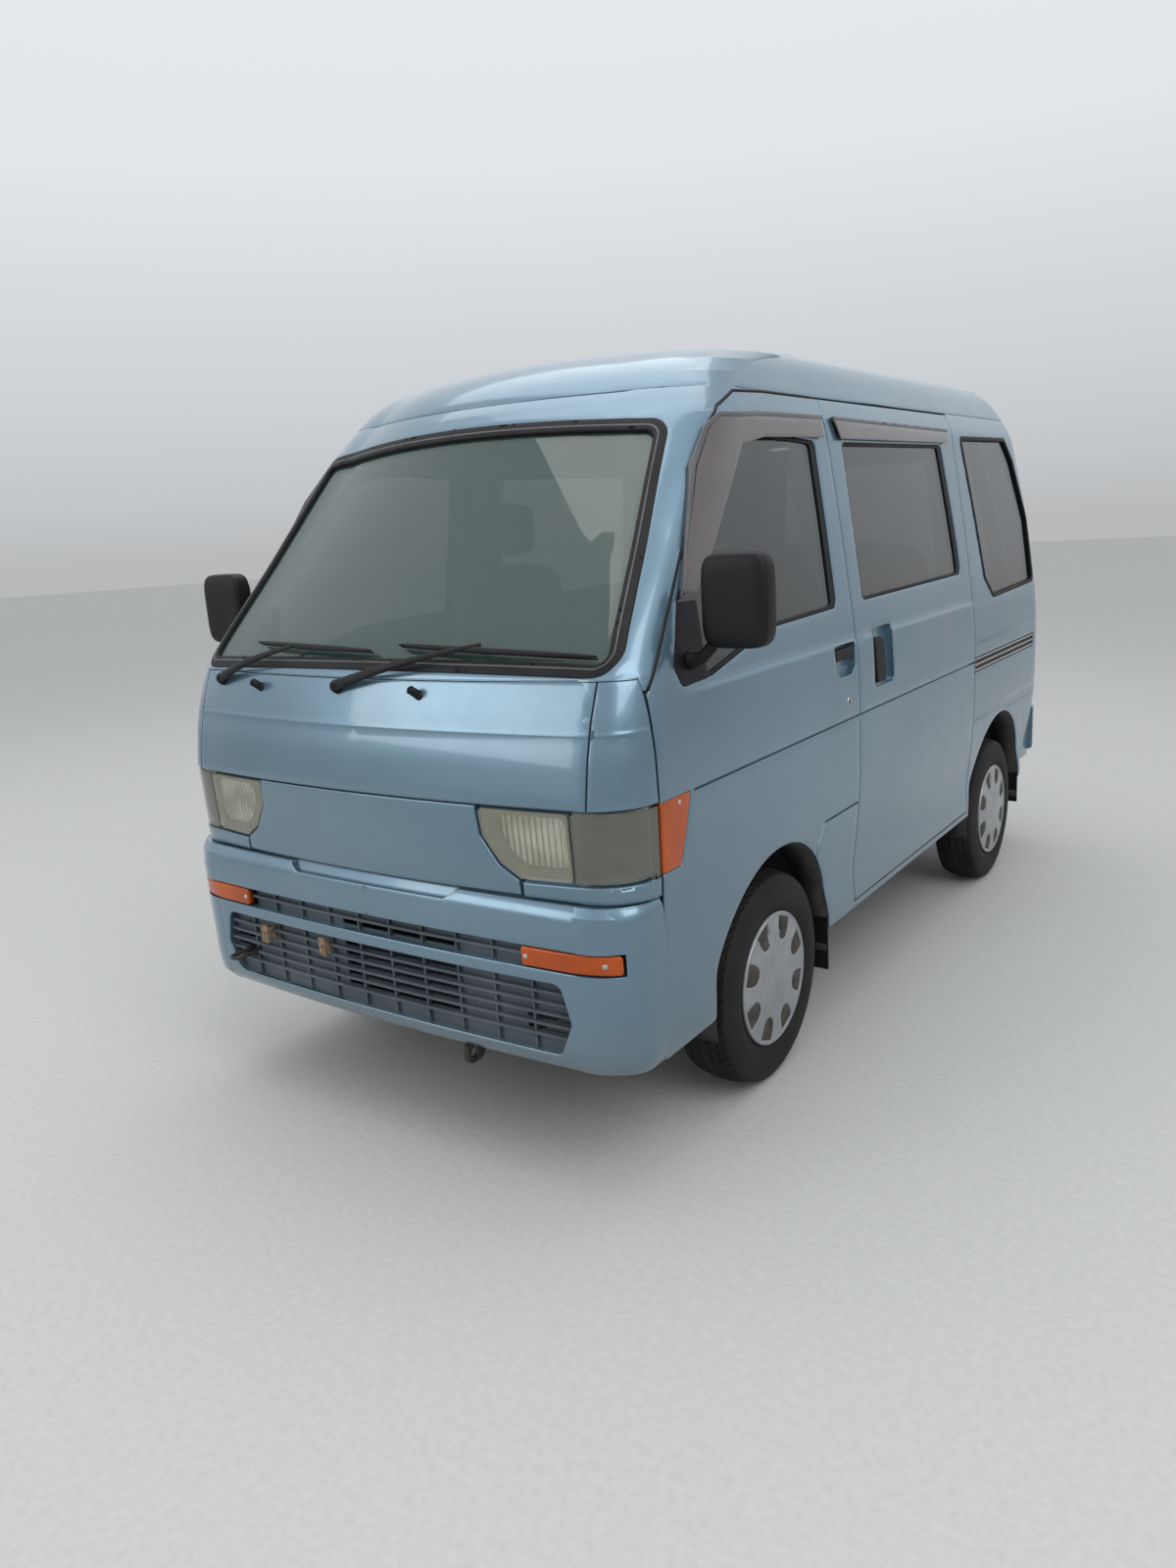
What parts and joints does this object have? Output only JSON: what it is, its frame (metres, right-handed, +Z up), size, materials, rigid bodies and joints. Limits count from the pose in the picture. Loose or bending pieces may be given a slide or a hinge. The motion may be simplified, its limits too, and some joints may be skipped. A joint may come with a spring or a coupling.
{
  "type": "kei van",
  "caption": "High-roof kei van with front doors, a top-hinged tailgate, steered front wheels and spinning wheels, over a stepped floor, ladder frame and leaf-sprung axle.",
  "frame": {"origin": "on the ground under the middle of the van", "axes": "+Z up, the front faces -Y, the van's left side is +X"},
  "size_m": [1.7428, 3.331, 1.8738],
  "materials": {
    "paint": "light metallic blue",
    "screen_glass": "greenish",
    "side_glass": "clear, slightly smoked",
    "seal": "black",
    "lamp": "clear lens, a little yellowed",
    "amber": "amber lens",
    "red": "red lens",
    "grey_plastic": "faded grey",
    "black_plastic": "black",
    "tyre": "black",
    "cover": "silver cover",
    "steel": "dark, dull",
    "iron": "dull",
    "seat": "grey",
    "dash": "dark grey"
  },
  "bodies": {
    "body": {"front_frame": "paint", "side_frame_left": "paint", "side_frame_right": "paint", "rear_frame": "paint", "floor_pan": "paint", "plate_brackets": "iron", "roof_panel": "paint", "hood_panel": "paint", "corner_panels": "paint", "nose_panel": "paint", "headlamps": "lamp", "windscreen": "screen_glass", "windscreen_seal": "seal", "front_bumper": "paint", "bumper_lamps": "amber", "bumper_grille": "grey_plastic", "sliding_doors": "paint", "side_glass": "side_glass", "rear_bumper": "paint", "tail_lamps": "red", "front_suspension": "steel", "rear_axle": "steel", "leaf_springs": "steel", "chassis_frame": "steel", "engine_block": "iron", "propshaft": "steel", "exhaust": "steel", "fuel_tank": "steel", "radiator": "black_plastic", "mud_flaps": "seal", "seats": "seat", "dashboard": "dash", "wipers": "black_plastic", "slide_fittings": "steel"},
    "door_left": {"door_left": "paint", "door_glass_left": "side_glass", "side_marker_left": "amber", "door_fittings_left": "black_plastic"},
    "door_right": {"door_right": "paint", "door_glass_right": "side_glass", "side_marker_right": "amber", "door_fittings_right": "black_plastic"},
    "tailgate": {"tailgate": "paint", "tailgate_glass": "side_glass"},
    "steering_wheel": {"steering_wheel": "black_plastic"},
    "knuckle_left": {"knuckle_left": "iron"},
    "knuckle_right": {"knuckle_right": "iron"},
    "wheel_front_left": {"tyre_front_left": "tyre", "wheel_front_left": "cover"},
    "wheel_front_right": {"tyre_front_right": "tyre", "wheel_front_right": "cover"},
    "wheel_rear_left": {"tyre_rear_left": "tyre", "wheel_rear_left": "cover"},
    "wheel_rear_right": {"tyre_rear_right": "tyre", "wheel_rear_right": "cover"}
  },
  "joints": [
    {"name": "door_left_hinge", "type": "hinge", "parent": "body", "child": "door_left", "pos_m": [0.688, -1.46679, 0.73633], "axis": [0, 0.0166, -0.9999], "range_deg": [0, 65]},
    {"name": "steer_left", "type": "hinge", "parent": "body", "child": "knuckle_left", "pos_m": [0.53, -0.94, 0.271], "axis": [-0.1474, -0.0164, 0.9889], "range_deg": [-33, 33]},
    {"name": "wheel_front_left_spin", "type": "hinge", "parent": "knuckle_left", "child": "wheel_front_left", "pos_m": [0.605, -0.94, 0.271], "axis": [1, 0, 0], "continuous": true},
    {"name": "wheel_rear_left_spin", "type": "hinge", "parent": "body", "child": "wheel_rear_left", "pos_m": [0.605, 0.96, 0.271], "axis": [1, 0, 0], "continuous": true},
    {"name": "door_right_hinge", "type": "hinge", "parent": "body", "child": "door_right", "pos_m": [-0.688, -1.46679, 0.73633], "axis": [0, -0.0166, 0.9999], "range_deg": [0, 65]},
    {"name": "steer_right", "type": "hinge", "parent": "body", "child": "knuckle_right", "pos_m": [-0.53, -0.94, 0.271], "axis": [0.1474, -0.0164, 0.9889], "range_deg": [-33, 33]},
    {"name": "wheel_front_right_spin", "type": "hinge", "parent": "knuckle_right", "child": "wheel_front_right", "pos_m": [-0.605, -0.94, 0.271], "axis": [1, 0, 0], "continuous": true},
    {"name": "wheel_rear_right_spin", "type": "hinge", "parent": "body", "child": "wheel_rear_right", "pos_m": [-0.605, 0.96, 0.271], "axis": [1, 0, 0], "continuous": true},
    {"name": "tailgate_hinge", "type": "hinge", "parent": "body", "child": "tailgate", "pos_m": [0, 1.45074, 1.69383], "axis": [1, 0, 0], "range_deg": [0, 85]},
    {"name": "steering_wheel_turn", "type": "hinge", "parent": "body", "child": "steering_wheel", "pos_m": [-0.33, -1.14181, 0.98175], "axis": [0, 0.834, 0.5517], "range_deg": [-561, 561]}
  ],
  "couplings": [
    {"joint": "steer_right", "follows": "steer_left", "ratio": 1},
    {"joint": "steering_wheel_turn", "follows": "steer_left", "ratio": 17}
  ]
}
